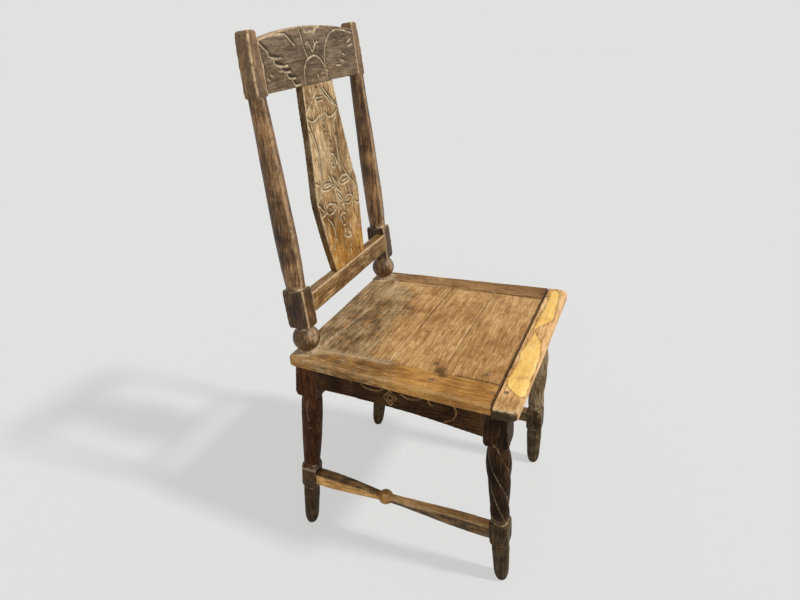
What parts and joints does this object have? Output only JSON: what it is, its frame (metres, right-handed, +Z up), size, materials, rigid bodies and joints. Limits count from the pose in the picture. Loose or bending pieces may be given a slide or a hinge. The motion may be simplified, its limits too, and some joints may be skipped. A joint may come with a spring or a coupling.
{
  "type": "carved wooden chair",
  "caption": "Wooden side chair with turned back posts, carved crest and vase-shaped splat, planked seat, rope-twist front legs and turned side stretchers.",
  "frame": {"origin": "on the floor, at the middle of the chair's width and of its depth", "axes": "+Z up, -Y to the front, +X to the sitter's left"},
  "size_m": [0.468, 0.4672, 0.9746],
  "materials": {
    "dark_wood": "worn and waxed, dusty",
    "post_wood": "worn satin",
    "carved_wood": "worn satin, carved",
    "seat_wood": "worn and dry",
    "nail_iron": "dark, rusted"
  },
  "bodies": {
    "root": {"front_leg_left": "dark_wood", "front_leg_right": "dark_wood", "rear_leg_left": "dark_wood", "rear_leg_right": "dark_wood", "front_apron": "dark_wood", "rear_apron": "dark_wood", "side_apron_left": "dark_wood", "side_apron_right": "dark_wood", "side_stretcher_left": "dark_wood", "side_stretcher_right": "dark_wood", "back_post_left": "post_wood", "back_post_right": "post_wood", "crest_rail": "carved_wood", "lower_back_rail": "carved_wood", "back_splat": "carved_wood", "seat_front_board": "seat_wood", "seat_side_board_left": "seat_wood", "seat_side_board_right": "seat_wood", "seat_front_plank": "seat_wood", "seat_front_middle_plank": "seat_wood", "seat_rear_middle_plank": "seat_wood", "seat_rear_plank": "seat_wood", "seat_nails": "nail_iron"}
  },
  "joints": []
}
